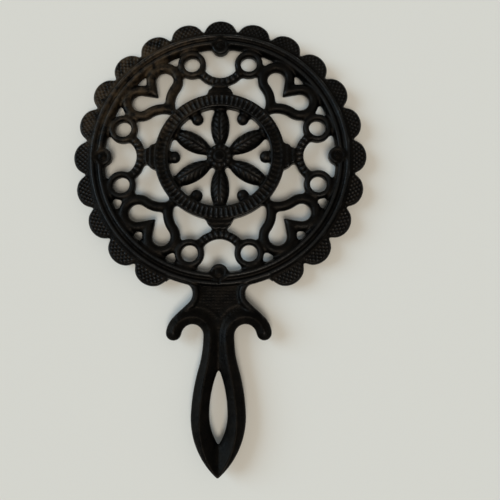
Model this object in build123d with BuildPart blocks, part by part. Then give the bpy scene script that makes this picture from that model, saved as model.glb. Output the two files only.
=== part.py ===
from build123d import *
import os
from math import acos, asin, atan2, cos, degrees, hypot, radians, sin, sqrt

# A cast-iron hand trivet: an openwork disc with a scalloped border, a looped handle and four riveted feet.
# Lengths are in millimetres. The casting's flat back lies FOOT_HEIGHT above the table at z = 0,
# the handle points along -Y, and the box around the whole trivet is centred on the z axis.

# Heights above the casting's back
FOOT_HEIGHT = 4.0
WEB = 2.9
BAR_CROWN = 3.8
CROWN_RISE = 1.9
REED_LIFT = 0.1
REED_DEPTH = 0.6
ROSETTE_SINK = 0.2
RIDGE_HEIGHT = 5.2

# Rim and scalloped border
RIM_INNER_R = 50.0
RIM_SHOULDER = 0.65
RIM_BEAD_WIDTH = 2.6
RIM_GROOVE = 0.3
SCALLOP_PLACES = 24
SCALLOP_REACH = 6.7
SCALLOP_NOTCH = 2.1
SCALLOP_EDGE = 1.0
NECK_PLACES = 3

# Foot bosses and feet
BOSS_R = 3.9
BOSS_REACH = 3.3
BOSS_TOP = 4.0
BOSS_EDGE = 0.5
FOOT_SHOULDER_R = 2.4
FOOT_TOE_R = 1.4
FOOT_TOE_EDGE = 0.4
SHANK_R = 1.2
PEEN_SPREAD = 0.4
PEEN_RISE = 0.3

# Centre ring and rosette
ROUNDEL_OUTER_R = 28.2
ROUNDEL_WIDTH = 6.1
ROUNDEL_LIP = 1.5
ROUNDEL_EDGE = 0.4
PETALS = 6
HUB_R = 5.6
BERRY_R = 2.7

# Hearts, small rings, reeded arcs and collars
HEART_BAR = 4.4
HEART_LOBE_R = 6.0
HEART_CLEFT = 1.35
HEART_TIP = 0.8
RING_BAR = 2.8
RING_HOLE_R = 3.5
ARC_BAR = 4.0
ARC_LANDING = 49.0
COLLAR_LENGTH = 4.0
COLLAR_FOOT = 5.8
COLLAR_NECK = 3.5
COLLAR_BAND = 1.3
COLLAR_FIRST_BAND = 1.25
COLLAR_SECOND_BAND = 3.5
COLLAR_SINK = 0.4
COLLAR_BITE = 1.0

# Handle
NOTCH_X = 16.0
NOTCH_BITE = 0.38
NOTCH_R = 5.0
NECK_RUN = 8.0
NECK_BEAD = 3.0
SCROLL_R = 7.8
SCROLL_STOP = 8.0
STRAND_BAR = 6.4
ROOF_SLOPE = 0.75
WAIST_LENGTH = 13.4
EYE_RISE = 18.1
EYE_FALL = 11.9
TIP_LENGTH = 12.3
GRIP_HALF_WIDTH = 11.2
WAIST_FLARE = 1.9
RIDGE_FLARE = 1.5
EYE_HALF_WIDTH = 3.65

# How far one section of the casting runs into the next before it is cut back to a flush joint
BITE = 0.4
HEART_BITE = 1.1

# Heights that follow from the sizes above
BAR_WALL = BAR_CROWN - CROWN_RISE
BEAD_WALL = WEB + RIM_GROOVE
BEAD_CROWN = BEAD_WALL + RIM_BEAD_WIDTH / 2
REED_BED = BAR_CROWN + REED_LIFT
REST_HEIGHT = REED_BED + REED_DEPTH
ROSETTE_TOP = REST_HEIGHT - ROSETTE_SINK
COLLAR_TOP = BAR_CROWN - COLLAR_SINK
STRAND_WALL = RIDGE_HEIGHT - ROOF_SLOPE * STRAND_BAR / 2

# Places on the disc that follow from the sizes above, with the disc's centre as origin
INNER_BEAD_R = RIM_INNER_R + RIM_SHOULDER + RIM_BEAD_WIDTH / 2
OUTER_BEAD_R = INNER_BEAD_R + RIM_GROOVE + RIM_BEAD_WIDTH
RIM_OUTER_R = OUTER_BEAD_R + RIM_BEAD_WIDTH / 2 + RIM_SHOULDER
BORDER_R = RIM_OUTER_R + SCALLOP_REACH
SCALLOP_PITCH = 360 / SCALLOP_PLACES
NOTCH_DEPTH = BORDER_R - (RIM_OUTER_R + SCALLOP_NOTCH) * cos(radians(SCALLOP_PITCH / 2))
NOTCH_HALF = (RIM_OUTER_R + SCALLOP_NOTCH) * sin(radians(SCALLOP_PITCH / 2))
SCALLOP_R = (NOTCH_DEPTH**2 + NOTCH_HALF**2) / (2 * NOTCH_DEPTH)
BOSS_AT = RIM_INNER_R - BOSS_REACH + BOSS_R
PEEN_R = SHANK_R + PEEN_SPREAD
ROUNDEL_INNER_R = ROUNDEL_OUTER_R - ROUNDEL_WIDTH
ROUNDEL_MID_R = ROUNDEL_OUTER_R - ROUNDEL_WIDTH / 2

HEART_SPREAD = HEART_LOBE_R + HEART_CLEFT
LOBE_AT = RIM_INNER_R + HEART_BITE - HEART_LOBE_R - HEART_BAR / 2
LOBE_U = sqrt(LOBE_AT**2 - HEART_SPREAD**2)
TAIL_SHIFT = HEART_TIP - HEART_BAR / 2 - HEART_SPREAD
TAIL_RUN = LOBE_U - ROUNDEL_MID_R
TAIL_R = (TAIL_RUN**2 + TAIL_SHIFT**2 - HEART_LOBE_R**2) / (2 * (HEART_LOBE_R - TAIL_SHIFT))
TAIL_V = TAIL_R + TAIL_SHIFT + HEART_SPREAD

RING_OUTER_R = RING_HOLE_R + RING_BAR
RING_MID_R = RING_HOLE_R + RING_BAR / 2
RING_AT = RIM_INNER_R + BITE - RING_OUTER_R
RING_TO_LOBE = RING_OUTER_R + HEART_LOBE_R + HEART_BAR / 2 - BITE
RING_SWING = degrees(acos((RING_AT**2 + LOBE_AT**2 - RING_TO_LOBE**2) / (2 * RING_AT * LOBE_AT)))
RING_ANGLE = 45 - RING_SWING - degrees(asin(HEART_SPREAD / LOBE_AT))
ARC_END_X = RING_AT * cos(radians(RING_ANGLE)) - RING_MID_R * cos(radians(ARC_LANDING))
ARC_END_Y = RING_AT * sin(radians(RING_ANGLE)) - RING_MID_R * sin(radians(ARC_LANDING))
ARC_MID_X = ROUNDEL_OUTER_R + COLLAR_LENGTH + ARC_BAR / 2

# Places on the handle that follow from the sizes above
NECK_ANGLE = NECK_PLACES * SCALLOP_PITCH / 2
NECK_CORNER = (RIM_OUTER_R * sin(radians(NECK_ANGLE)), -RIM_OUTER_R * cos(radians(NECK_ANGLE)))
NOTCH_Y = -sqrt((RIM_OUTER_R + NOTCH_R - NOTCH_BITE) ** 2 - NOTCH_X**2)
SCROLL_X = SCROLL_R + STRAND_BAR / 2
NOTCH_TO_SCROLL = hypot(NOTCH_R + SCROLL_X, NECK_RUN)
SCROLL_Y = NOTCH_Y - sqrt(NOTCH_TO_SCROLL**2 - (NOTCH_X - SCROLL_X) ** 2)
WAIST_Y = SCROLL_Y - WAIST_LENGTH
BULGE_Y = WAIST_Y - EYE_RISE
EYE_BOTTOM_Y = BULGE_Y - EYE_FALL
HANDLE_REACH = TIP_LENGTH - EYE_BOTTOM_Y
DISC_Y = (HANDLE_REACH - BORDER_R) / 2

# Names of the quarters, a right angle apart from east on, and of the diagonals that follow each of them
QUARTERS = ("east", "north", "west", "south")
DIAGONALS = ("north_east", "north_west", "south_west", "south_east")

back = Plane((0, DISC_Y, FOOT_HEIGHT))


def spoke(angle):
    """Gives the back's plane turned so that its x axis points out from the disc's centre along angle."""
    return back.rotated((0, 0, angle))


def upright(angle, along=0.0):
    """Gives a plane that stands on the back at a distance along a spoke, with x outwards and y upwards."""
    ground = spoke(angle)
    return Plane(ground.from_local_coords((along, 0, 0)), x_dir=ground.x_dir, z_dir=-ground.y_dir)


def across(path):
    """Gives the plane square to a level path at its start, with its y axis upwards."""
    ahead = path % 0
    return Plane(path @ 0, x_dir=Vector(0, 0, 1).cross(ahead), z_dir=ahead)


def bar_section(width, crown, at=0.0):
    """Draws a bar's section in the open sketch: flat foot, upright walls and a round crown."""
    wall = crown - min(width / 2, CROWN_RISE)
    with BuildLine() as outline:
        Polyline((at - width / 2, wall), (at - width / 2, 0), (at + width / 2, 0), (at + width / 2, wall))
        ThreePointArc((at - width / 2, wall), (at, crown), (at + width / 2, wall))
    make_face(outline.edges())


def polar(radius, angle, centre=(0.0, 0.0)):
    """Gives the point at a radius and an angle in degrees from a centre."""
    return (centre[0] + radius * cos(radians(angle)), centre[1] + radius * sin(radians(angle)))


def keep(piece, name):
    """Labels a finished piece and writes its file."""
    piece.part.label = name
    export_step(piece.part, f"parts/{name}.step")


os.makedirs("parts", exist_ok=True)

# Rim: two round beads with a groove between them, bitten by the four foot bosses
with BuildPart() as rim:
    with BuildSketch(upright(0)):
        with BuildLine():
            half_bead = RIM_BEAD_WIDTH / 2
            inner_start = (INNER_BEAD_R - half_bead, BEAD_WALL)
            inner_end = (INNER_BEAD_R + half_bead, BEAD_WALL)
            outer_start = (OUTER_BEAD_R - half_bead, BEAD_WALL)
            outer_end = (OUTER_BEAD_R + half_bead, BEAD_WALL)
            Polyline(inner_start, (RIM_INNER_R, BAR_WALL), (RIM_INNER_R, 0))
            Polyline((RIM_INNER_R, 0), (RIM_OUTER_R, 0), (RIM_OUTER_R, WEB), outer_end)
            ThreePointArc(outer_start, (OUTER_BEAD_R, BEAD_CROWN), outer_end)
            Line(inner_end, outer_start)
            ThreePointArc(inner_start, (INNER_BEAD_R, BEAD_CROWN), inner_end)
        make_face()
    revolve(axis=Axis(back.origin, (0, 0, 1)))
    with BuildSketch(back):
        with PolarLocations(BOSS_AT, len(QUARTERS)):
            Circle(BOSS_R)
    extrude(amount=2 * REST_HEIGHT, mode=Mode.SUBTRACT)
keep(rim, "rim")

# Scalloped border: round scallops with bevelled tops all the way round, except at the neck
with BuildPart() as border:
    for place in range(SCALLOP_PLACES):
        turn = place * SCALLOP_PITCH
        if abs(turn - 90 * QUARTERS.index("south")) > NECK_ANGLE:
            seat = upright(turn, BORDER_R - SCALLOP_R)
            with BuildSketch(seat):
                Polygon(
                    (0, 0),
                    (SCALLOP_R, 0),
                    (SCALLOP_R, WEB - SCALLOP_EDGE),
                    (SCALLOP_R - SCALLOP_EDGE, WEB),
                    (0, WEB),
                    align=None,
                )
            revolve(axis=Axis(seat.origin, (0, 0, 1)))
    with BuildSketch(back):
        Circle(RIM_OUTER_R)
    extrude(amount=WEB, mode=Mode.SUBTRACT)
keep(border, "scalloped_border")

# Foot bosses: round pads in the rim, drilled and countersunk for the feet
for number, quarter in enumerate(QUARTERS):
    angle = 90 * number
    with BuildPart() as boss:
        with BuildSketch(upright(angle, BOSS_AT)):
            with BuildLine():
                Polyline(
                    (SHANK_R, 0),
                    (BOSS_R, 0),
                    (BOSS_R, BOSS_TOP - BOSS_EDGE),
                    (BOSS_R - BOSS_EDGE, BOSS_TOP),
                    (PEEN_R, BOSS_TOP),
                    (SHANK_R, BOSS_TOP - PEEN_R + SHANK_R),
                    close=True,
                )
            make_face()
        revolve(axis=Axis(upright(angle, BOSS_AT).origin, (0, 0, 1)))
    keep(boss, f"foot_boss_{quarter}")

# Feet: tapered pegs whose shanks pass through the bosses and are peened over
for number, quarter in enumerate(QUARTERS):
    angle = 90 * number
    with BuildPart() as foot:
        with BuildSketch(upright(angle, BOSS_AT)):
            with BuildLine():
                Polyline(
                    (0, BOSS_TOP + PEEN_RISE),
                    (0, -FOOT_HEIGHT),
                    (FOOT_TOE_R - FOOT_TOE_EDGE, -FOOT_HEIGHT),
                    (FOOT_TOE_R, FOOT_TOE_EDGE - FOOT_HEIGHT),
                    (FOOT_SHOULDER_R, 0),
                    (SHANK_R, 0),
                    (SHANK_R, BOSS_TOP - PEEN_R + SHANK_R),
                    (PEEN_R, BOSS_TOP),
                )
                RadiusArc(
                    (0, BOSS_TOP + PEEN_RISE), (PEEN_R, BOSS_TOP), (PEEN_R**2 + PEEN_RISE**2) / (2 * PEEN_RISE)
                )
            make_face()
        revolve(axis=Axis(upright(angle, BOSS_AT).origin, (0, 0, 1)))
    keep(foot, f"foot_{quarter}")

# Centre ring: a sunken bed between two flat lips
with BuildPart() as roundel:
    with BuildSketch(upright(0)):
        with BuildLine():
            Polyline(
                (ROUNDEL_INNER_R, 0),
                (ROUNDEL_OUTER_R, 0),
                (ROUNDEL_OUTER_R, REST_HEIGHT - ROUNDEL_EDGE),
                (ROUNDEL_OUTER_R - ROUNDEL_EDGE, REST_HEIGHT),
                (ROUNDEL_OUTER_R - ROUNDEL_LIP + ROUNDEL_EDGE, REST_HEIGHT),
                (ROUNDEL_OUTER_R - ROUNDEL_LIP, REED_BED),
                (ROUNDEL_INNER_R + ROUNDEL_LIP, REED_BED),
                (ROUNDEL_INNER_R + ROUNDEL_LIP - ROUNDEL_EDGE, REST_HEIGHT),
                (ROUNDEL_INNER_R + ROUNDEL_EDGE, REST_HEIGHT),
                (ROUNDEL_INNER_R, REST_HEIGHT - ROUNDEL_EDGE),
                close=True,
            )
        make_face()
    revolve(axis=Axis(back.origin, (0, 0, 1)))
keep(roundel, "centre_ring")

# Hearts: one bar on each side of the diagonal runs from the cleft round the lobe and down to the tip
hearts = {}
for number, diagonal in enumerate(DIAGONALS):
    angle = 45 + 90 * number
    with BuildPart() as heart:
        cleft_turn = degrees(acos(HEART_LOBE_R / HEART_SPREAD)) - 90
        lobe_start = polar(HEART_LOBE_R, cleft_turn, (LOBE_U, HEART_SPREAD))
        tail_turn = degrees(atan2(TAIL_V - HEART_SPREAD, -TAIL_RUN)) % 360
        with BuildLine(spoke(angle)) as bar:
            cleft_line = polar(-2 * HEART_LOBE_R, cleft_turn + 90, lobe_start)
            Line(cleft_line, lobe_start)
            CenterArc((LOBE_U, HEART_SPREAD), HEART_LOBE_R, cleft_turn, tail_turn - cleft_turn)
            CenterArc((ROUNDEL_MID_R, TAIL_V), TAIL_R, tail_turn - 180, 90 - tail_turn)
        with BuildSketch(across(bar.line)):
            bar_section(HEART_BAR, BAR_CROWN)
        sweep()
        halves = Plane(back.origin, z_dir=spoke(angle).y_dir)
        split(bisect_by=halves, keep=Keep.TOP)
        mirror(about=halves)
        add(rim.part, mode=Mode.SUBTRACT)
        add(roundel.part, mode=Mode.SUBTRACT)
    hearts[diagonal] = heart
    keep(heart, f"heart_{diagonal}")

# Small rings: one on each side of every foot boss, seated against the rim and the nearest heart
rings = {}
for number, quarter in enumerate(QUARTERS):
    for side in (1, -1):
        beside = QUARTERS[(number + side) % len(QUARTERS)]
        nearest = DIAGONALS[number if side > 0 else number - 1]
        with BuildPart() as ring:
            seat = upright(90 * number + side * RING_ANGLE, RING_AT)
            with BuildSketch(seat):
                bar_section(RING_BAR, BAR_CROWN, at=RING_MID_R)
            revolve(axis=Axis(seat.origin, (0, 0, 1)))
            add(rim.part, mode=Mode.SUBTRACT)
            add(hearts[nearest].part, mode=Mode.SUBTRACT)
        rings[quarter, side] = ring
        keep(ring, f"ring_{quarter}_{beside}_side")

# Reeded arcs: each joins the two rings beside a foot boss
arcs = {}
for number, quarter in enumerate(QUARTERS):
    with BuildPart() as arc:
        with BuildLine(spoke(90 * number)) as sag:
            ThreePointArc((ARC_END_X, -ARC_END_Y), (ARC_MID_X, 0), (ARC_END_X, ARC_END_Y))
        with BuildSketch(across(sag.line)):
            bar_section(ARC_BAR, BAR_CROWN)
        sweep()
        add(rings[quarter, 1].part, mode=Mode.SUBTRACT)
        add(rings[quarter, -1].part, mode=Mode.SUBTRACT)
    arcs[quarter] = arc
    keep(arc, f"reeded_arc_{quarter}")

# Collars: flared stems with two bands between the centre ring and the arcs
for number, quarter in enumerate(QUARTERS):
    angle = 90 * number
    with BuildPart() as collar:
        foot_x = ROUNDEL_OUTER_R
        neck_x = ARC_MID_X - ARC_BAR / 2 + COLLAR_BITE
        with BuildSketch(spoke(angle)):
            Polygon(
                (foot_x - ROUNDEL_LIP, -COLLAR_FOOT),
                (foot_x, -COLLAR_FOOT),
                (neck_x, -COLLAR_NECK),
                (neck_x, COLLAR_NECK),
                (foot_x, COLLAR_FOOT),
                (foot_x - ROUNDEL_LIP, COLLAR_FOOT),
                align=None,
            )
        extrude(amount=COLLAR_TOP)
        for run in (COLLAR_FIRST_BAND, COLLAR_SECOND_BAND):
            half_band = COLLAR_FOOT + run / (neck_x - foot_x) * (COLLAR_NECK - COLLAR_FOOT)
            with BuildSketch(upright(angle, foot_x + run).offset(half_band)):
                bar_section(COLLAR_BAND, BEAD_CROWN)
            extrude(amount=-2 * half_band)
        add(roundel.part, mode=Mode.SUBTRACT)
        add(arcs[quarter].part, mode=Mode.SUBTRACT)
    keep(collar, f"collar_{quarter}")

# Rosette hub: a low dome in the middle of the centre ring
with BuildPart() as hub:
    with BuildSketch(upright(0)):
        with BuildLine():
            Polyline((HUB_R, WEB), (HUB_R, 0), (0, 0), (0, ROSETTE_TOP))
            TangentArc((0, ROSETTE_TOP), (HUB_R, WEB), tangent=(1, 0))
        make_face()
    revolve(axis=Axis(back.origin, (0, 0, 1)))
keep(hub, "rosette_hub")

# Rosette petals: half spindles lying between the hub and the centre ring
for number in range(PETALS):
    with BuildPart() as petal:
        ground = spoke(90 + number * 360 / PETALS)
        with BuildSketch(ground):
            with BuildLine():
                start_x = HUB_R / 2
                end_x = ROUNDEL_MID_R
                ThreePointArc((start_x, 0), ((start_x + end_x) / 2, ROSETTE_TOP), (end_x, 0))
                Line((start_x, 0), (end_x, 0))
            make_face()
        revolve(axis=Axis(ground.origin, ground.x_dir), revolution_arc=180)
        add(hub.part, mode=Mode.SUBTRACT)
        add(roundel.part, mode=Mode.SUBTRACT)
    keep(petal, f"rosette_petal_{number + 1}")

# Rosette berries: domed studs on the centre ring between the petals
for number in range(PETALS):
    with BuildPart() as berry:
        stand = upright(90 + (number + 0.5) * 360 / PETALS, ROUNDEL_INNER_R + BITE - BERRY_R)
        with BuildSketch(stand):
            with BuildLine():
                Polyline((BERRY_R, BAR_WALL), (BERRY_R, 0), (0, 0), (0, BAR_CROWN))
                TangentArc((0, BAR_CROWN), (BERRY_R, BAR_WALL), tangent=(1, 0))
            make_face()
        revolve(axis=Axis(stand.origin, (0, 0, 1)))
        add(roundel.part, mode=Mode.SUBTRACT)
    keep(berry, f"rosette_berry_{number + 1}")

# Scrolls: roofed bars that arch over from the grip and end in round noses
scrolls = {}
with BuildPart() as scroll:
    turned = Plane(back.from_local_coords((SCROLL_X, SCROLL_Y, 0))).rotated((0, 0, SCROLL_STOP))
    section = Plane(turned.origin, x_dir=turned.x_dir, z_dir=-turned.y_dir)
    nose = Axis(section.from_local_coords((SCROLL_R, 0, 0)), (0, 0, -1))
    inner_x = SCROLL_R - STRAND_BAR / 2
    outer_x = SCROLL_R + STRAND_BAR / 2
    with BuildSketch(section):
        Polygon(
            (inner_x, 0),
            (outer_x, 0),
            (outer_x, STRAND_WALL),
            (SCROLL_R, RIDGE_HEIGHT),
            (inner_x, STRAND_WALL),
            align=None,
        )
    revolve(axis=Axis(section.origin, (0, 0, 1)), revolution_arc=180 - SCROLL_STOP)
    with BuildSketch(section):
        Polygon(
            (SCROLL_R, 0), (outer_x, 0), (outer_x, STRAND_WALL), (SCROLL_R, RIDGE_HEIGHT), align=None
        )
    revolve(axis=nose, revolution_arc=180)
scrolls["east"] = scroll
with BuildPart() as scroll:
    mirror(scrolls["east"].part, about=Plane.YZ)
scrolls["west"] = scroll
for hand, scroll in scrolls.items():
    keep(scroll, f"scroll_{hand}")

# Grip strands: two roofed bars that part round the hanging eye and meet again in a pointed tip
strands = {}
with BuildPart() as strand:
    with BuildLine(back) as ridge:
        knee = (STRAND_BAR / 2 + RIDGE_FLARE, WAIST_Y)
        bulge = ((EYE_HALF_WIDTH + GRIP_HALF_WIDTH) / 2, BULGE_Y)
        waist_ridge = TangentArc((STRAND_BAR / 2, SCROLL_Y), knee, tangent=Vector(0, -1))
        bulge_ridge = TangentArc(waist_ridge @ 1, bulge, tangent=waist_ridge % 1)
        TangentArc(bulge_ridge @ 1, (0, -HANDLE_REACH), tangent=bulge_ridge % 1)
    with BuildSketch(across(ridge.line)):
        eaves = (RIDGE_HEIGHT + BAR_WALL) / ROOF_SLOPE
        Polygon((-eaves, -BAR_WALL), (eaves, -BAR_WALL), (0, RIDGE_HEIGHT), align=None)
    sweep()
    with BuildSketch(back):
        with BuildLine():
            waist = (STRAND_BAR + WAIST_FLARE, WAIST_Y)
            widest = (GRIP_HALF_WIDTH, BULGE_Y)
            eye_side = (EYE_HALF_WIDTH, BULGE_Y)
            Line((0, SCROLL_Y), (STRAND_BAR, SCROLL_Y))
            waist_side = TangentArc((STRAND_BAR, SCROLL_Y), waist, tangent=(0, -1))
            bulge_side = TangentArc(waist, widest, tangent=waist_side % 1)
            TangentArc(widest, (0, -HANDLE_REACH), tangent=bulge_side % 1)
            Line((0, -HANDLE_REACH), (0, EYE_BOTTOM_Y))
            TangentArc(eye_side, (0, EYE_BOTTOM_Y), tangent=(0, -1))
            TangentArc(eye_side, (0, WAIST_Y), tangent=(0, 1))
            Line((0, WAIST_Y), (0, SCROLL_Y))
        make_face()
    extrude(amount=2 * RIDGE_HEIGHT, mode=Mode.INTERSECT)
strands["east"] = strand
with BuildPart() as strand:
    mirror(strands["east"].part, about=Plane.YZ)
strands["west"] = strand
for hand, strand in strands.items():
    keep(strand, f"grip_strand_{hand}")

# Neck beads: raised borders that follow the neck's hollow sides from the rim to the scrolls
notch = (NOTCH_X, NOTCH_Y)
corner_away = (NECK_CORNER[0] - NOTCH_X, NECK_CORNER[1] - NOTCH_Y)
flare_turn = degrees(atan2(corner_away[1], corner_away[0])) + degrees(acos(NOTCH_R / hypot(*corner_away)))
scroll_turn = degrees(atan2(SCROLL_Y - NOTCH_Y, SCROLL_X - NOTCH_X))
run_turn = scroll_turn - degrees(acos((NOTCH_R + SCROLL_X) / NOTCH_TO_SCROLL))
flare_length = sqrt(hypot(*corner_away) ** 2 - NOTCH_R**2)
beads = {}
with BuildPart() as bead:
    with BuildLine(back) as edge:
        bead_r = NOTCH_R + NECK_BEAD / 2
        flare_end = polar(bead_r, flare_turn, notch)
        run_start = polar(bead_r, run_turn, notch)
        Line(polar(flare_length, flare_turn - 90, flare_end), flare_end)
        CenterArc(notch, bead_r, flare_turn, run_turn + 360 - flare_turn)
        Line(run_start, polar(NECK_RUN, run_turn + 90, run_start))
    with BuildSketch(across(edge.line)):
        bar_section(NECK_BEAD, BEAD_CROWN)
    sweep()
    with BuildSketch(back):
        Circle(OUTER_BEAD_R)
    extrude(amount=2 * REST_HEIGHT, mode=Mode.SUBTRACT)
    add(rim.part, mode=Mode.SUBTRACT)
    add(border.part, mode=Mode.SUBTRACT)
    add(scrolls["east"].part, mode=Mode.SUBTRACT)
beads["east"] = bead
with BuildPart() as bead:
    mirror(beads["east"].part, about=Plane.YZ)
beads["west"] = bead
for hand, bead in beads.items():
    keep(bead, f"neck_bead_{hand}")

# Neck plate: the flat web between the rim, the neck beads and the scrolls
with BuildPart() as neck:
    with BuildSketch(back):
        with BuildLine():
            flare_end = polar(NOTCH_R, flare_turn, notch)
            run_start = polar(NOTCH_R, run_turn, notch)
            run_end = polar(NECK_RUN, run_turn + 90, run_start)
            Polyline((0, BITE - RIM_OUTER_R), NECK_CORNER, flare_end)
            CenterArc(notch, NOTCH_R, flare_turn, run_turn + 360 - flare_turn)
            Polyline(run_start, run_end, (SCROLL_X, SCROLL_Y + SCROLL_R), (0, SCROLL_Y))
            mirror(about=Plane.YZ)
        make_face()
    extrude(amount=WEB)
    add(rim.part, mode=Mode.SUBTRACT)
    add(border.part, mode=Mode.SUBTRACT)
    for hand in ("east", "west"):
        add(scrolls[hand].part, mode=Mode.SUBTRACT)
        add(beads[hand].part, mode=Mode.SUBTRACT)
keep(neck, "neck_plate")
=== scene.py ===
from math import radians

import bmesh
import bpy
import numpy as np
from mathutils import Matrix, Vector
from mathutils.bvhtree import BVHTree


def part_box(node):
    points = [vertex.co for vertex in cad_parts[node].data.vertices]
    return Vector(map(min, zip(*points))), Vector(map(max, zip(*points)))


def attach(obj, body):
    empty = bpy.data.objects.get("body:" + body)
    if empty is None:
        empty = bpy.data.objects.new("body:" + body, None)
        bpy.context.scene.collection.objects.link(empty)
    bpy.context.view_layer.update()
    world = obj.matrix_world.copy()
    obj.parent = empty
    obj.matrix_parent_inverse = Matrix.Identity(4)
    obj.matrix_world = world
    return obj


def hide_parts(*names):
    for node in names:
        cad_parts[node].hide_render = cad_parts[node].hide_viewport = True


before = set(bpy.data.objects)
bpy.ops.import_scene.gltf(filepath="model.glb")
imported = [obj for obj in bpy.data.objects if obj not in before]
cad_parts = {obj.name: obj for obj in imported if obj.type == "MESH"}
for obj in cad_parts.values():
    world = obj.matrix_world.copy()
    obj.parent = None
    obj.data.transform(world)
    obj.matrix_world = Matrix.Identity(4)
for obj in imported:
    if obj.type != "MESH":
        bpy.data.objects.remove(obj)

bl_info = {
    "name": "Cast-Iron Hand Trivet",
    "version": (1, 0, 0),
    "blender": (4, 5, 0),
    "location": "View3D > Sidebar > Trivet",
    "description": "Builds the looks of a cast-iron hand trivet around its packed CAD frame",
    "category": "Object",
}

MM = 0.001
SKIN = "casting_skin"
QUARTERS = (0, 90, 180, 270)
FEET = sorted(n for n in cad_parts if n.startswith("foot_") and "boss" not in n)
CASTING = sorted(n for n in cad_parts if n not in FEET)
RIM_LOW, RIM_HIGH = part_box("rim")
# The disc's centre on the casting's flat back: places below are measured from here, in millimetres
CENTRE = Vector(((RIM_LOW.x + RIM_HIGH.x) / 2, (RIM_LOW.y + RIM_HIGH.y) / 2, RIM_LOW.z))
RIM_OUTER = (RIM_HIGH.x - RIM_LOW.x) / 2 / MM


def linear(code):
    """Turns an sRGB hex colour into linear RGB."""
    parts = [int(code[i:i + 2], 16) / 255 for i in (1, 3, 5)]
    return tuple(p / 12.92 if p <= 0.04045 else ((p + 0.055) / 1.055) ** 2.4 for p in parts)


class TrivetSizes(bpy.types.PropertyGroup):
    """Sizes of the cast detail that a user would change."""

    grain: bpy.props.FloatProperty(
        name="Skin Mesh", description="Mesh size of the casting's skin",
        default=0.36 * MM, unit="LENGTH", precision=5)
    fillet: bpy.props.FloatProperty(
        name="Fillet", description="Radius of the cast fillets where bars of the openwork meet",
        default=0.6 * MM, unit="LENGTH", precision=5)
    notch: bpy.props.FloatProperty(
        name="Notch",
        description="How much deeper the cast notches between scallops run than the sections",
        default=0.7 * MM, unit="LENGTH", precision=5)
    pebble_pitch: bpy.props.FloatProperty(
        name="Pebble Pitch", description="Distance from one pebble of the scallops to the next",
        default=1.5 * MM, unit="LENGTH", precision=5)
    pebble_height: bpy.props.FloatProperty(
        name="Pebble Height", description="Rise of the pebbles on the scallops",
        default=0.62 * MM, unit="LENGTH", precision=5)
    reeds: bpy.props.IntProperty(
        name="Reeds", description="Number of reeds round the centre ring", default=74)
    reed_depth: bpy.props.FloatProperty(
        name="Reed Depth", description="Depth of the gaps between the centre ring's reeds",
        default=0.75 * MM, unit="LENGTH", precision=5)
    tick_pitch: bpy.props.FloatProperty(
        name="Tick Pitch", description="Distance between the cuts across the reeded arcs",
        default=2.3 * MM, unit="LENGTH", precision=5)
    tick_depth: bpy.props.FloatProperty(
        name="Tick Depth", description="Depth of the cuts across the reeded arcs",
        default=0.6 * MM, unit="LENGTH", precision=5)
    waist: bpy.props.FloatProperty(
        name="Collar Waist",
        description="How far each side of a collar draws in below its reeded arc",
        default=0.85 * MM, unit="LENGTH", precision=5)
    rim_groove: bpy.props.FloatProperty(
        name="Rim Groove", description="Depth of the groove between the rim's two beads",
        default=0.7 * MM, unit="LENGTH", precision=5)
    hatch_pitch: bpy.props.FloatProperty(
        name="Hatch Pitch", description="Distance between the lines hatched on the neck plate",
        default=1.25 * MM, unit="LENGTH", precision=5)


class TrivetColours(bpy.types.PropertyGroup):
    """Colours of the iron and of the room round it."""

    iron: bpy.props.FloatVectorProperty(
        name="Blackened Iron", description="Colour of the blackened iron",
        default=linear("#0d0c0b"), size=3, subtype="COLOR")
    # Lighter grey for worn ridges, also used as a painted highlight on crests and pebble tops
    worn: bpy.props.FloatVectorProperty(
        name="Rubbed and Highlit Iron", description="Colour of ridges that hands and pots have rubbed",
        default=linear("#282828"), size=3, subtype="COLOR")
    rust: bpy.props.FloatVectorProperty(
        name="Rust", description="Colour of the thin brown rust",
        default=linear("#44341f"), size=3, subtype="COLOR")
    floor: bpy.props.FloatVectorProperty(
        name="Floor", description="Colour of the pale floor",
        default=linear("#dcdad3"), size=3, subtype="COLOR")
    backdrop: bpy.props.FloatVectorProperty(
        name="Backdrop", description="Colour of the room behind the floor",
        default=linear("#d2d3ce"), size=3, subtype="COLOR")


# ---------------------------------------------------------------- tools


def take(obj):
    """Deselects everything and makes obj the one selected, active object."""
    if bpy.context.object and bpy.context.object.mode != "OBJECT":
        bpy.ops.object.mode_set(mode="OBJECT")
    bpy.ops.object.select_all(action="DESELECT")
    obj.hide_set(False)
    obj.select_set(True)
    bpy.context.view_layer.objects.active = obj
    return obj


def finish_with(obj, kind, **settings):
    """Adds a modifier with its settings to obj and applies it."""
    take(obj)
    modifier = obj.modifiers.new(kind.title(), kind)
    for key, value in settings.items():
        setattr(modifier, key, value)
    bpy.ops.object.modifier_apply(modifier=modifier.name)


def copied(names, title):
    """Copies CAD nodes, merges the loose triangles of each copy and joins them into one object."""
    bpy.ops.object.select_all(action="DESELECT")
    copies = []
    for name in names:
        copy = bpy.data.objects.new(f"copy_{name}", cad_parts[name].data.copy())
        bpy.context.scene.collection.objects.link(copy)
        copy.select_set(True)
        copies.append(copy)
    bpy.context.view_layer.objects.active = copies[0]
    bpy.ops.object.mode_set(mode="EDIT")
    bpy.ops.mesh.select_all(action="SELECT")
    bpy.ops.mesh.remove_doubles(threshold=0.002 * MM)
    bpy.ops.object.mode_set(mode="OBJECT")
    if len(copies) > 1:
        bpy.ops.object.join()
    obj = bpy.context.object
    obj.name = obj.data.name = title
    obj.data.materials.clear()
    return obj


def skin():
    """Gives the poured casting, or stops if it isn't there."""
    obj = bpy.data.objects.get(SKIN)
    if obj is None:
        raise RuntimeError("pour the casting first")
    return obj


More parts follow.
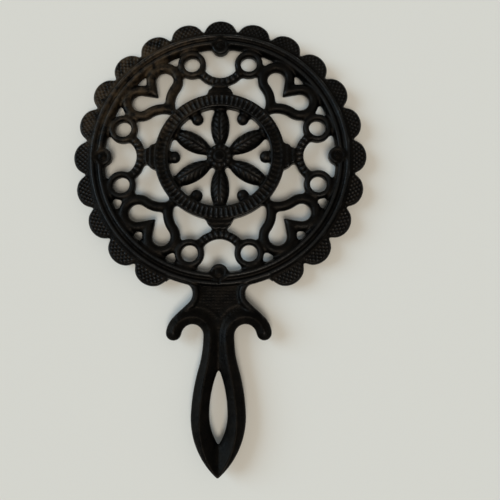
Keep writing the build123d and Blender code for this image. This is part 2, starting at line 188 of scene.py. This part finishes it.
def points(mesh):
    """Gives the places of a mesh's points in metres."""
    co = np.empty(len(mesh.vertices) * 3, np.float32)
    mesh.vertices.foreach_get("co", co)
    return co.reshape(-1, 3).astype(float)


def put(mesh, co):
    """Moves a mesh's points to places in metres."""
    mesh.vertices.foreach_set("co", co.astype(np.float32).ravel())
    mesh.update()


def facing(mesh):
    """Gives the direction in which each of a mesh's points faces."""
    out = np.empty(len(mesh.vertices) * 3, np.float32)
    mesh.vertex_normals.foreach_get("vector", out)
    return out.reshape(-1, 3)


def plan(mesh):
    """Gives each point's x, y and z from the disc's centre in millimetres, its radius and angle."""
    x, y, z = ((points(mesh) - np.array(CENTRE)) / MM).T
    return x, y, z, np.hypot(x, y), np.degrees(np.arctan2(y, x))


def bell(away, width):
    """A smooth bump of height 1 at no distance, gone at about twice the width."""
    return np.exp(-((away / width) ** 2))


def ease(value, low, high):
    """Rises smoothly from 0 at low to 1 at high."""
    t = np.clip((value - low) / (high - low), 0, 1)
    return t * t * (3 - 2 * t)


def press(obj, heights):
    """Raises or sinks the skin's top by heights in millimetres, and leaves its sides and back."""
    flat, upright = 0.15, 0.6
    co = points(obj.data)
    co[:, 2] += heights * MM * ease(facing(obj.data)[:, 2], flat, upright)
    put(obj.data, co)


def neighbours(mesh):
    """Gives the two ends of each edge, and how many edges meet at each point."""
    ends = np.empty(len(mesh.edges) * 2, np.int32)
    mesh.edges.foreach_get("vertices", ends)
    return *ends.reshape(-1, 2).T, np.bincount(ends, minlength=len(mesh.vertices))


def relax(values, ends, rounds):
    """Evens out one value per point with those of its neighbours, over a number of rounds."""
    a, b, degree = ends
    count = len(values)
    for _ in range(rounds):
        around = np.bincount(a, values[b], count) + np.bincount(b, values[a], count)
        values = 0.4 * values + 0.6 * around / degree
    return values


def soften(obj, where, rounds):
    """Rounds off ridges and creases by height alone, so that the outline stays, where weights say."""
    z = plan(obj.data)[2]
    press(obj, where * (relax(z, neighbours(obj.data), rounds) - z))


def weigh(obj, name, weights):
    """Gives obj a vertex group with the weights, in steps of a sixteenth."""
    group = obj.vertex_groups.new(name=name)
    steps = np.rint(weights * 16).astype(int)
    for step in range(1, 17):
        group.add(np.nonzero(steps == step)[0].tolist(), step / 16, "REPLACE")
    return name


def rub(mesh):
    """Stores on each point how far it stands out of what is round it: 1 on ridges, 0 in hollows. The
    iron greys the ridges by it, partly as wear and partly as painted highlight.
    """
    sharp = 0.16
    co = points(mesh) / MM
    ends = neighbours(mesh)
    soft = np.stack([relax(co[:, axis], ends, 10) for axis in range(3)], 1)
    proud = ((co - soft) * facing(mesh)).sum(1)
    stored = mesh.attributes.new("rubbed_and_highlit", "FLOAT", "POINT")
    stored.data.foreach_set("value", np.clip(proud / sharp, 0, 1).astype(np.float32))


# ------------------------------------------------------------ materials


def add_node(tree, kind, inputs=None, **settings):
    """Adds a node with its settings, and fills its inputs with values or other nodes' outputs."""
    made = tree.nodes.new(kind)
    for key, value in settings.items():
        setattr(made, key, value)
    for key, value in (inputs or {}).items():
        if isinstance(value, bpy.types.NodeSocket):
            tree.links.new(value, made.inputs[key])
        else:
            made.inputs[key].default_value = value
    return made


def per_mm(size):
    """Scale of a texture whose features are size millimetres across."""
    return 1 / (size * MM)


def cast_iron(name):
    """Sand-cast grey iron, blackened and oiled over many years of use."""
    # The eye sees a warm near-black with a low, broken sheen, fine sand grain, ridges worn greyer
    # and smoother by hands and pots, the greyer ridges doubling as painted highlight along crests and
    # pebble tops, and thin brown rust on the part of the rim that stayed dry.
    colours = bpy.context.scene.trivet_colours
    material = bpy.data.materials.new(name)
    material.use_nodes = True
    tree = material.node_tree
    iron = tree.nodes["Principled BSDF"]
    place = add_node(tree, "ShaderNodeTexCoord").outputs["Object"]
    # Sand grain about 0.9 mm across, coarser than moulding sand so that it shows in the render
    grain = add_node(tree, "ShaderNodeTexNoise", {
        "Vector": place, "Scale": per_mm(0.9), "Detail": 3.0, "Roughness": 0.6})
    # Clouds of oil and soot, about 11 mm across
    clouds = add_node(tree, "ShaderNodeTexNoise", {
        "Vector": place, "Scale": per_mm(11), "Detail": 5.0, "Roughness": 0.6})
    # Blotches of wear and rust, about 4 mm across
    blotch = add_node(tree, "ShaderNodeTexNoise", {
        "Vector": place, "Scale": per_mm(4), "Detail": 4.0, "Roughness": 0.65})
    # How far each point stands proud: ridges get the lighter colour, partly wear and partly a painted
    # highlight
    rubbed_and_highlit = add_node(
        tree, "ShaderNodeAttribute", attribute_name="rubbed_and_highlit", attribute_type="GEOMETRY")

    tone = add_node(tree, "ShaderNodeMapRange", {
        "Value": clouds.outputs["Fac"], "From Min": 0.3, "From Max": 0.7,
        "To Min": 0.6, "To Max": 1.3})
    base = add_node(tree, "ShaderNodeMix", {
        "Factor": 1.0, "A": (*colours.iron, 1), "B": tone.outputs["Result"],
    }, data_type="RGBA", blend_type="MULTIPLY")
    # Painted highlight and wear: proud points mix up to 0.6 of the way to the lighter ridge colour
    edge = add_node(tree, "ShaderNodeMapRange", {
        "Value": rubbed_and_highlit.outputs["Fac"], "From Min": 0.35, "From Max": 1.0,
        "To Min": 0.0, "To Max": 0.6})
    worn_and_highlit = add_node(tree, "ShaderNodeMix", {
        "Factor": edge.outputs["Result"], "A": base.outputs[2], "B": (*colours.worn, 1),
    }, data_type="RGBA")

    # Rust gathers round the rim's upper left, broken up by the blotches, and is no metal
    rust_at = CENTRE + Vector((-40, 36, 3)) * MM
    away = add_node(tree, "ShaderNodeVectorMath", {0: place, 1: rust_at}, operation="DISTANCE")
    near = add_node(tree, "ShaderNodeMapRange", {
        "Value": away.outputs["Value"], "From Min": 10 * MM, "From Max": 42 * MM,
        "To Min": 1.0, "To Max": 0.06})
    spots = add_node(tree, "ShaderNodeMapRange", {
        "Value": blotch.outputs["Fac"], "From Min": 0.38, "From Max": 0.68,
        "To Min": 0.0, "To Max": 0.6})
    rusty = add_node(tree, "ShaderNodeMath", {
        0: near.outputs["Result"], 1: spots.outputs["Result"]}, operation="MULTIPLY")
    browned = add_node(tree, "ShaderNodeMix", {
        "Factor": rusty.outputs[0], "A": worn_and_highlit.outputs[2], "B": (*colours.rust, 1),
    }, data_type="RGBA")
    tree.links.new(browned.outputs[2], iron.inputs["Base Color"])
    bare = add_node(tree, "ShaderNodeMath", {0: 1.0, 1: rusty.outputs[0]}, operation="SUBTRACT")
    tree.links.new(bare.outputs[0], iron.inputs["Metallic"])

    # The sheen breaks up with the blotches, is higher on rubbed ridges and gone on rust
    dull = add_node(tree, "ShaderNodeMapRange", {
        "Value": blotch.outputs["Fac"], "From Min": 0.3, "From Max": 0.7,
        "To Min": 0.27, "To Max": 0.46})
    polish = add_node(tree, "ShaderNodeMath", {
        0: edge.outputs["Result"], 1: -0.12, 2: dull.outputs["Result"]}, operation="MULTIPLY_ADD")
    matt = add_node(tree, "ShaderNodeMath", {
        0: rusty.outputs[0], 1: 0.3, 2: polish.outputs[0]}, operation="MULTIPLY_ADD")
    tree.links.new(matt.outputs[0], iron.inputs["Roughness"])
    iron.inputs["Specular IOR Level"].default_value = 0.2

    swell = add_node(tree, "ShaderNodeBump", {
        "Height": blotch.outputs["Fac"], "Distance": 0.25 * MM, "Strength": 0.7})
    sand = add_node(tree, "ShaderNodeBump", {
        "Height": grain.outputs["Fac"], "Distance": 0.15 * MM, "Strength": 1.0,
        "Normal": swell.outputs["Normal"]})
    tree.links.new(sand.outputs["Normal"], iron.inputs["Normal"])
    return material


# -------------------------------------------------------------- casting


class TRIVET_OT_casting(bpy.types.Operator):
    """Pours the casting: the sections run into one skin with cast fillets between the bars"""

    bl_idname = "trivet.casting"
    bl_label = "Casting"

    def execute(self, context):
        sizes = context.scene.trivet_sizes
        hair, shaved = 0.04 * MM, 0.06 * MM
        obj = copied(CASTING, SKIN)
        # The sections grow by a hair, so that flush joints overlap and run together
        finish_with(obj, "DISPLACE", strength=hair, mid_level=0.0)
        finish_with(obj, "REMESH", mode="VOXEL", voxel_size=sizes.grain * 1.2)
        # Swelling and shrinking by the fillet's radius fills the corners inside the rim, and more so
        # towards the handle, where the iron ran in
        handle_side, far_side = -25, 35
        for way in (1, -1):
            _, y, _, r, _ = plan(obj.data)
            inside = 1 - ease(r, RIM_OUTER - 0.5, RIM_OUTER + 1.0)
            group = weigh(obj, "openwork", inside * (1 - 0.5 * ease(y, handle_side, far_side)))
            finish_with(
                obj, "DISPLACE", strength=way * sizes.fillet, mid_level=0.0, vertex_group=group)
            obj.vertex_groups.clear()
            finish_with(obj, "REMESH", mode="VOXEL", voxel_size=sizes.grain)
        finish_with(obj, "SMOOTH", factor=0.5, iterations=4)
        # The hair comes off again, and a little more, so that the skin stays inside the sections' box
        finish_with(obj, "DISPLACE", strength=-shaved, mid_level=0.0)
        return {"FINISHED"}


class TRIVET_OT_border(bpy.types.Operator):
    """Deepens the notches of the border and presses staggered pebbles into its scallops"""

    bl_idname = "trivet.border"
    bl_label = "Scalloped Border"

    def execute(self, context):
        sizes = context.scene.trivet_sizes
        scallop_r, step, notch_width = 8.34, 15, 1.7
        obj = skin()
        x, y, _, r, angle = plan(obj.data)
        border_r = (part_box("scalloped_border")[1].x - CENTRE.x) / MM
        turn = np.rint(angle / step) * step
        across = np.radians(angle - turn) * r
        # The handle takes the place of three scallops
        lobes = np.abs(turn + 90) > 1.5 * step
        # The notches between the scallops run further in than the sections' own
        away = np.radians(step / 2) * r - np.abs(across)
        deeper = sizes.notch * bell(away, notch_width)
        deeper *= ease(r, RIM_OUTER + 0.5, RIM_OUTER + 2.4) * lobes
        co = points(obj.data)
        co[:, 0] -= deeper * x / r
        co[:, 1] -= deeper * y / r
        put(obj.data, co)
        # The pebbles stand in staggered rows and leave each scallop a plain edge
        _, _, _, r, angle = plan(obj.data)
        across = np.radians(angle - turn) * r
        out = r * np.cos(np.radians(angle - turn)) - (border_r - scallop_r)
        on = ease(scallop_r - np.hypot(out, across), 1.0, 1.6)
        on *= ease(r, RIM_OUTER + 0.2, RIM_OUTER + 0.7) * lobes
        row = sizes.pebble_pitch / MM / 2 ** 0.5
        first_row = RIM_OUTER + 1.1
        pebbles = np.cos(np.pi * (r - first_row) / (1.08 * row))
        pebbles *= np.cos(np.pi * across / (0.92 * row))
        press(obj, on * (0.5 * sizes.pebble_height / MM * pebbles - 0.1))
        return {"FINISHED"}


class TRIVET_OT_rim(bpy.types.Operator):
    """Cuts the groove between the rim's beads again, where fillets filled it, and rings the bosses"""

    bl_idname = "trivet.rim"
    bl_label = "Rim and Bosses"

    def execute(self, context):
        sizes = context.scene.trivet_sizes
        groove_r, groove_width = 53.55, 0.75
        seam_r, seam_depth = 56.45, 0.3
        peen_r, mark_depth, mark_width = 2.05, 0.35, 0.4
        obj = skin()
        x, y, _, r, _ = plan(obj.data)
        low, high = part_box("foot_north")
        boss_at = ((low.y + high.y) / 2 - CENTRE.y) / MM
        beads = np.ones(len(r))
        sunk = np.zeros(len(r))
        for turn in QUARTERS:
            c, s = np.cos(radians(turn)), np.sin(radians(turn))
            away = np.hypot(x - boss_at * c, y - boss_at * s)
            beads *= ease(away, 3.4, 4.4)
            sunk += mark_depth * bell(away - peen_r, mark_width)
        heights = -sizes.rim_groove / MM * bell(r - groove_r, groove_width) ** 0.7 * beads
        heights -= seam_depth * bell(r - seam_r, mark_width)
        # The pour left a short upright mark below the handle's boss
        mark = ease(y, -55.6, -55.0) * (1 - ease(y, -53.0, -52.4))
        sunk += mark_depth * bell(x, mark_width) * mark
        press(obj, heights - sunk)
        return {"FINISHED"}


class TRIVET_OT_centre_ring(bpy.types.Operator):
    """Stands radial reeds in the bed between the centre ring's lips"""

    bl_idname = "trivet.centre_ring"
    bl_label = "Centre Ring"

    def execute(self, context):
        sizes = context.scene.trivet_sizes
        inner_lip, outer_lip, bed_level = (23.0, 23.7), (26.7, 27.4), (3.0, 3.5)
        obj = skin()
        _, y, z, r, angle = plan(obj.data)
        bed = ease(r, *inner_lip) * (1 - ease(r, *outer_lip)) * ease(z, *bed_level)
        wave = 0.5 + 0.5 * np.cos(np.radians(angle) * sizes.reeds)
        # The reeds were cast and worn unevenly: clear above and below, they fade at the two sides
        clear = 0.3 + 0.7 * ease(np.abs(y) / np.maximum(r, 1), 0.35, 0.8)
        gaps = sizes.reed_depth / MM * (0.35 + clear * (0.65 - wave ** 0.8))
        press(obj, bed * (0.55 - gaps))
        return {"FINISHED"}


class TRIVET_OT_openwork(bpy.types.Operator):
    """Draws the collars in to a waist and cuts ticks across the reeded arcs"""

    bl_idname = "trivet.openwork"
    bl_label = "Hearts, Rings and Arcs"

    def execute(self, context):
        obj = skin()
        self.draw_in(obj, context.scene.trivet_sizes)
        self.tick(obj, context.scene.trivet_sizes)
        return {"FINISHED"}

    def draw_in(self, obj, sizes):
        """Tapers the collars from the centre ring to a waist below the arcs."""
        x, y, _, _, _ = plan(obj.data)
        co = points(obj.data)
        for turn in QUARTERS:
            c, s = np.cos(radians(turn)), np.sin(radians(turn))
            u, v = x * c + y * s, -x * s + y * c
            pull = sizes.waist * ease(u, 28.8, 32.0) * (1 - ease(u, 32.2, 34.2)) * np.sign(v)
            pull *= ease(np.abs(v), 0.8, 3.0) * (1 - ease(np.abs(v), 5, 9))
            co[:, 0] += pull * s
            co[:, 1] -= pull * c
        put(obj.data, co)

    def tick(self, obj, sizes):
        """Cuts each arc across, over the half-round that faces the centre."""
        arc_at, arc_r, arc_wide, arc_half = 44.48, 10.28, 2.4, 50.0
        x, y, _, r, _ = plan(obj.data)
        heights = np.zeros(len(r))
        for turn in QUARTERS:
            c, s = np.cos(radians(turn)), np.sin(radians(turn))
            u, v = x * c + y * s - arc_at, -x * s + y * c
            swing = np.degrees(np.arctan2(v, -u))
            off = np.hypot(u, v) - arc_r
            on = bell(off, 2.2) * (np.abs(off) < arc_wide)
            on *= 1 - ease(np.abs(swing), arc_half - 4, arc_half)
            run = np.radians(swing) * arc_r
            cuts = 0.5 + 0.5 * np.cos(2 * np.pi * run / (sizes.tick_pitch / MM))
            heights -= sizes.tick_depth / MM * on * cuts ** 2
        press(obj, heights)


class TRIVET_OT_rosette(bpy.types.Operator):
    """Veins the petals and beads the hub of the rosette"""

    bl_idname = "trivet.rosette"
    bl_label = "Rosette"

    def execute(self, context):
        step, half_petal = 60, 4.6
        rib_pitch, rib_width = 2.6, 0.4
        hub_beads, bead_r, collar_r = 12, 4.3, 2.9
        obj = skin()
        _, _, _, r, angle = plan(obj.data)
        turn = np.radians(angle - 90 - np.rint((angle - 90) / step) * step)
        along, across = r * np.cos(turn), r * np.sin(turn)
        petal = ease(along, 6.6, 8.0) * (1 - ease(along, 19.5, 21.5)) * (np.abs(across) < half_petal)
        vein = bell(across, 0.45)
        ribs = bell(((along - np.abs(across) * 0.9) % rib_pitch) - rib_pitch / 2, rib_width)
        ribs *= ease(np.abs(across), 0.5, 1.0)
        heights = -petal * (0.55 * vein + 0.28 * ribs)
        beads = bell(r - bead_r, 0.75) * (0.5 + 0.5 * np.cos(np.radians(angle) * hub_beads))
        heights += 0.4 * beads - 0.3 * bell(r - collar_r, 0.4)
        press(obj, heights)
        return {"FINISHED"}


class TRIVET_OT_handle(bpy.types.Operator):
    """Softens the grip's facets, hatches the neck plate and raises thin lines along the scrolls"""

    bl_idname = "trivet.handle"
    bl_label = "Neck and Grip"

    def execute(self, context):
        pitch = context.scene.trivet_sizes.hatch_pitch / MM
        hatch_height, line_height, line_width = 0.075, 0.22, 0.8
        obj = skin()
        x, y, z, r, _ = plan(obj.data)
        soften(obj, 1 - ease(y, -70, -64), 16)
        # The hatched field lies between the rim, the neck's beads and the scrolls
        field = ease(r, RIM_OUTER + 0.3, RIM_OUTER + 1.2) * (1 - ease(z, 3.1, 3.5)) * (y < -50)
        field *= (1 - ease(np.abs(x), 9, 11)) * ease(y, -70.5, -69)
        waves = np.cos(2 * np.pi * x / pitch) + np.cos(2 * np.pi * y / pitch)
        heights = hatch_height * field * waves
        # A thin raised line edges the hatching along the scrolls' tops and runs down as a stem
        bends = (
            ((-10.2, -64.6), (-4.2, -64.2), (-0.3, -69.2)),
            ((8.8, -63.4), (3.6, -64.0), (0.5, -69.2)),
            ((0.1, -69.0), (0.1, -70.5), (-0.1, -72.5)),
        )
        steps = np.linspace(0, 1, 9)[:, None]
        for bend in bends:
            first, middle, last = np.array(bend)
            line = (1 - steps) ** 2 * first + 2 * steps * (1 - steps) * middle + steps ** 2 * last
            for start, run in zip(line, np.diff(line, axis=0)):
                ahead = (x - start[0]) * run[0] + (y - start[1]) * run[1]
                along = np.clip(ahead / (run @ run), 0, 1)
                away = np.hypot(x - start[0] - along * run[0], y - start[1] - along * run[1])
                heights = np.maximum(heights, line_height * bell(away, line_width))
        press(obj, heights)
        return {"FINISHED"}


# ------------------------------------------------------------- sections


def sections_above(mesh):
    """Gives for each face of the skin the number of the CAD section that covers it from above."""
    corners, triangles, owner = [], [], []
    for number, name in enumerate(CASTING):
        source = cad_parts[name].data
        source.calc_loop_triangles()
        start = len(corners)
        corners.extend(v.co.copy() for v in source.vertices)
        triangles.extend([start + i for i in t.vertices] for t in source.loop_triangles)
        owner.extend([number] * len(source.loop_triangles))
    tree = BVHTree.FromPolygons(corners, triangles, all_triangles=True)
    above, down, bar_level = 1, Vector((0, 0, -1)), CENTRE.z + 1.5 * MM
    found = []
    for face in mesh.polygons:
        x, y, _ = face.center
        hit = tree.ray_cast(Vector((x, y, above)), down)[2]
        if hit is None:
            hit = tree.find_nearest(Vector((x, y, bar_level)))[2]
        found.append(owner[hit])
    return np.array(found)


def loops_of(mesh):
    """Gives the face, the point and the edge of each of the mesh's loops."""
    point, edge = np.empty((2, len(mesh.loops)), np.int32)
    total = np.empty(len(mesh.polygons), np.int32)
    mesh.loops.foreach_get("vertex_index", point)
    mesh.loops.foreach_get("edge_index", edge)
    mesh.polygons.foreach_get("loop_total", total)
    return np.repeat(np.arange(len(total)), total), point, edge


def tally(where, kind, rows):
    """Counts for each row how often each section is named there."""
    kinds = len(CASTING)
    return np.bincount(where * kinds + kind, minlength=rows * kinds).reshape(-1, kinds)


def settle(mesh, section):
    """Smooths the lines between sections, and gives loose patches to the section round them."""
    face, point, edge = loops_of(mesh)
    count = len(section)
    for _ in range(4):
        votes = tally(point, section[face], len(mesh.vertices))
        held = votes.argmax(1)
        clear = ((votes == votes.max(1, keepdims=True)).sum(1) == 1)[point]
        votes = tally(face[clear], held[point][clear], count)
        own = votes[np.arange(count), section]
        section = np.where(votes.max(1) > own, votes.argmax(1), section)
    a, b = face[np.argsort(edge, kind="stable")].reshape(-1, 2).T
    # A face that its own section holds by one side alone goes to the section on the others
    for _ in range(6):
        beside = np.concatenate((section[b], section[a]))
        votes = tally(np.concatenate((a, b)), beside, count)
        section = np.where(votes.max(1) >= 3, votes.argmax(1), section)
    # Faces of one section that hang together carry the lowest number among them
    patch = np.arange(count)
    alike = section[a] == section[b]
    while True:
        low = np.minimum(patch[a[alike]], patch[b[alike]])
        joined = patch.copy()
        np.minimum.at(joined, patch[a[alike]], low)
        np.minimum.at(joined, patch[b[alike]], low)
        joined = joined[joined[joined]]
        if (joined == patch).all():
            break
        patch = joined
    size = np.bincount(patch, minlength=count)
    for number, name in enumerate(CASTING):
        own = section == number
        if not own.any():
            raise RuntimeError(f"{name} got no part of the skin")
        section[own & (size[patch] < 0.1 * size[patch[own]].max())] = -1
    while (section < 0).any():
        for one, other in ((a, b), (b, a)):
            found = (section[one] < 0) & (section[other] >= 0)
            section[one[found]] = section[other[found]]
    return section


class TRIVET_OT_sections(bpy.types.Operator):
    """Parts the finished casting into its named sections, closes each and gives it its iron"""

    bl_idname = "trivet.sections"
    bl_label = "Sections"

    def execute(self, context):
        obj = skin()
        mesh = obj.data
        rub(mesh)
        section = settle(mesh, sections_above(mesh))
        for name in CASTING:
            mesh.materials.append(bpy.data.materials.new(f"part_{name}"))
        mesh.polygons.foreach_set("material_index", section.astype(np.int32))
        take(obj)
        bpy.ops.object.mode_set(mode="EDIT")
        bpy.ops.mesh.select_all(action="SELECT")
        bpy.ops.mesh.separate(type="MATERIAL")
        bpy.ops.object.mode_set(mode="OBJECT")
        pieces = list(context.selected_objects)
        iron = cast_iron("sand_cast_iron_blackened")
        for piece in pieces:
            name = piece.data.materials[0].name.removeprefix("part_")
            piece.data.materials.clear()
            piece.data.materials.append(iron)
            piece.name = piece.data.name = f"iron_{name}"
            piece.data.shade_smooth()
            self.close(piece)
            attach(piece, "root")
            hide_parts(name)
        for name in CASTING:
            bpy.data.materials.remove(bpy.data.materials[f"part_{name}"])
        if len(pieces) != len(CASTING):
            raise RuntimeError(f"the casting came apart into {len(pieces)}, not {len(CASTING)}")
        return {"FINISHED"}

    def close(self, piece):
        """Builds upright walls where the section was parted from its neighbours."""
        bm = bmesh.new()
        bm.from_mesh(piece.data)
        follows = {}
        for edge in bm.edges:
            edge.smooth = not edge.is_boundary
            if edge.is_boundary:
                loop = edge.link_loops[0]
                follows.setdefault(loop.link_loop_next.vert, []).append(loop.vert)
        rings = []
        while follows:
            ring = [next(iter(follows))]
            while ring[-1] in follows:
                ring.append(follows[ring[-1]].pop())
                if not follows[ring[-2]]:
                    del follows[ring[-2]]
            rings.append(ring[:-1])
        # A wall runs from the points along its top to those along its foot
        middle = CENTRE.z + 1.3 * MM
        tops = [ring for ring in rings if all(v.co.z > middle for v in ring)]
        feet = [ring for ring in rings if all(v.co.z <= middle for v in ring)]
        for ring in rings:
            if ring not in tops and ring not in feet:
                self.wall(bm, *self.rows(ring, middle))
        for top in tops:
            near = top[0].co.xy
            foot = min(feet, key=lambda ring: min((v.co.xy - near).length for v in ring))
            feet.remove(foot)
            start = min(range(len(foot)), key=lambda i: (foot[i].co.xy - near).length)
            self.wall(bm, top + top[:1], foot[start:] + foot[:start + 1])
        if any(edge.is_boundary for edge in bm.edges):
            raise RuntimeError(f"{piece.name} isn't closed")
        bm.to_mesh(piece.data)
        bm.free()

    def rows(self, ring, middle):
        """Parts a ring into its top row and its foot row; a short stray row joins its neighbours."""
        count = len(ring)
        high = [v.co.z > middle for v in ring]
        turns = [i for i in range(count) if high[i] != high[i - 1]]
        while len(turns) > 2:
            ends = zip(turns, turns[1:] + turns[:1])
            length, start = min(((b - a) % count, a) for a, b in ends)
            for i in range(start, start + length):
                high[i % count] = not high[i % count]
            turns = [i for i in range(count) if high[i] != high[i - 1]]
        start, split = turns if high[turns[0]] else reversed(turns)
        ring = ring[start:] + ring[:start]
        return ring[:(split - start) % count], ring[(split - start) % count:]

    def wall(self, bm, top, foot):
        """Fills the strip between two rows of points, each run in the strip's own direction."""
        far = 1.0
        i, j = 0, len(foot) - 1
        while i < len(top) - 1 or j > 0:
            ahead = (top[i + 1].co.xy - foot[j].co.xy).length if i < len(top) - 1 else far
            below = (top[i].co.xy - foot[j - 1].co.xy).length if j > 0 else far
            if ahead < below:
                corners = (top[i], top[i + 1], foot[j])
                i += 1
            else:
                corners = (top[i], foot[j - 1], foot[j])
                j -= 1
            face = bm.faces.new(corners)
            face.smooth = False
            self.trim(bm, face)

    def trim(self, bm, face):
        """Cuts a corner off the skin where a face of a wall would lie back to back with it."""
        beside = [other for edge in face.edges for other in edge.link_faces]
        backs = [other for other in beside if set(face.verts) < set(other.verts)]
        if backs:
            corner = next(v for v in face.verts if len(v.link_faces) == 2)
            kept = [v for v in backs[0].verts if v is not corner]
            bm.faces.remove(face)
            bm.faces.remove(backs[0])
            bm.faces.new(kept).smooth = True
            bm.verts.remove(corner)


class TRIVET_OT_feet(bpy.types.Operator):
    """Rounds the corners of the four peened feet, as cast, and gives them their iron"""

    bl_idname = "trivet.feet"
    bl_label = "Feet"

    def execute(self, context):
        fine, shaved = context.scene.trivet_sizes.grain * 0.5, 0.02 * MM
        iron = cast_iron("sand_cast_iron_feet")
        for name in FEET:
            foot = copied([name], f"iron_{name}")
            finish_with(foot, "REMESH", mode="VOXEL", voxel_size=fine)
            finish_with(foot, "SMOOTH", factor=0.5, iterations=2)
            finish_with(foot, "DISPLACE", strength=-shaved, mid_level=0.0)
            rub(foot.data)
            foot.data.materials.append(iron)
            foot.data.shade_smooth()
            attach(foot, "root")
            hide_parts(name)
        return {"FINISHED"}


# ---------------------------------------------------------------- stage


class TRIVET_OT_stage(bpy.types.Operator):
    """Lays the pale floor, hangs the soft lights and sets the camera"""

    bl_idname = "trivet.stage"
    bl_label = "Stage"

    def execute(self, context):
        scene = context.scene
        bpy.ops.object.select_all(action="DESELECT")
        bpy.ops.mesh.primitive_plane_add(size=24, location=(0, 0, 0))
        floor = context.object
        floor.name = "floor"
        cloth = bpy.data.materials.new("matt_floor")
        cloth.use_nodes = True
        ground = cloth.node_tree.nodes["Principled BSDF"]
        ground.inputs["Base Color"].default_value = (*scene.trivet_colours.floor, 1)
        ground.inputs["Roughness"].default_value = 0.9
        ground.inputs["Specular IOR Level"].default_value = 0.1
        floor.data.materials.append(cloth)

        scene.world = self.room(scene.trivet_colours.backdrop)
        self.lamp("window", Vector((-0.8, 0.2, 0.55)), 39, 1.9, (0.58, 0.8, 1.0))
        self.lamp("ceiling", Vector((0.06, -0.42, 0.88)), 24, 1.5, (1.0, 0.92, 0.81))

        bpy.ops.object.camera_add(
            location=CENTRE + Vector((15.433, -75.764, 231.367)) * MM,
            rotation=(radians(8.644), radians(0.645), radians(-0.128)),
        )
        camera = context.object
        camera.name = "photo_camera"
        camera.data.sensor_width = 36
        camera.data.lens = 39.65
        camera.data.clip_start = 0.01
        scene.camera = camera
        scene.view_settings.view_transform = "Standard"
        return {"FINISHED"}

    def room(self, backdrop):
        """Lights the trivet softly from all round; eye and sheen see the room as pale as the floor."""
        world = bpy.data.worlds.new("studio")
        world.use_nodes = True
        tree = world.node_tree
        light = tree.nodes["Background"]
        light.inputs["Color"].default_value = (1.0, 0.95, 0.87, 1)
        light.inputs["Strength"].default_value = 0.3
        pale = add_node(tree, "ShaderNodeBackground", {"Color": (*backdrop, 1), "Strength": 1.0})
        rays = add_node(tree, "ShaderNodeLightPath").outputs
        seen = rays["Is Camera Ray"]
        for kind in ("Is Glossy Ray", "Is Transmission Ray"):
            seen = add_node(
                tree, "ShaderNodeMath", {0: seen, 1: rays[kind]}, operation="MAXIMUM").outputs[0]
        both = add_node(
            tree, "ShaderNodeMixShader", {0: seen, 1: light.outputs[0], 2: pale.outputs[0]})
        tree.links.new(both.outputs[0], tree.nodes["World Output"].inputs["Surface"])
        return world

    def lamp(self, name, place, spread, strength, colour):
        """Hangs a broad, even light in a place's direction, spread over an angle in degrees."""
        bpy.ops.object.light_add(type="SUN", location=place)
        lamp = bpy.context.object
        lamp.name = name
        lamp.data.angle = radians(spread)
        lamp.data.energy = strength
        lamp.data.color = colour
        lamp.rotation_euler = (CENTRE - place).to_track_quat("-Z", "Y").to_euler()


class TRIVET_PT_panel(bpy.types.Panel):
    """Lists the steps that build the trivet."""

    bl_idname = "TRIVET_PT_panel"
    bl_label = "Trivet"
    bl_space_type = "VIEW_3D"
    bl_region_type = "UI"
    bl_category = "Trivet"

    def draw(self, context):
        for group in (context.scene.trivet_sizes, context.scene.trivet_colours):
            column = self.layout.column(align=True)
            for key in group.bl_rna.properties.keys():
                if key not in ("rna_type", "name"):
                    column.prop(group, key)
        for step in STEPS:
            self.layout.operator(step.bl_idname)


STEPS = (
    TRIVET_OT_casting,
    TRIVET_OT_border,
    TRIVET_OT_rim,
    TRIVET_OT_centre_ring,
    TRIVET_OT_openwork,
    TRIVET_OT_rosette,
    TRIVET_OT_handle,
    TRIVET_OT_sections,
    TRIVET_OT_feet,
    TRIVET_OT_stage,
)
CLASSES = (TrivetSizes, TrivetColours, *STEPS, TRIVET_PT_panel)


def register():
    for cls in CLASSES:
        bpy.utils.register_class(cls)
    bpy.types.Scene.trivet_sizes = bpy.props.PointerProperty(type=TrivetSizes)
    bpy.types.Scene.trivet_colours = bpy.props.PointerProperty(type=TrivetColours)


def unregister():
    del bpy.types.Scene.trivet_sizes
    del bpy.types.Scene.trivet_colours
    for cls in reversed(CLASSES):
        bpy.utils.unregister_class(cls)


def main():
    register()
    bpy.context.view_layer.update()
    bpy.ops.trivet.casting()
    bpy.ops.trivet.border()
    bpy.ops.trivet.rim()
    bpy.ops.trivet.centre_ring()
    bpy.ops.trivet.openwork()
    bpy.ops.trivet.rosette()
    bpy.ops.trivet.handle()
    bpy.ops.trivet.sections()
    bpy.ops.trivet.feet()
    bpy.ops.trivet.stage()


if __name__ == "__main__":
    main()
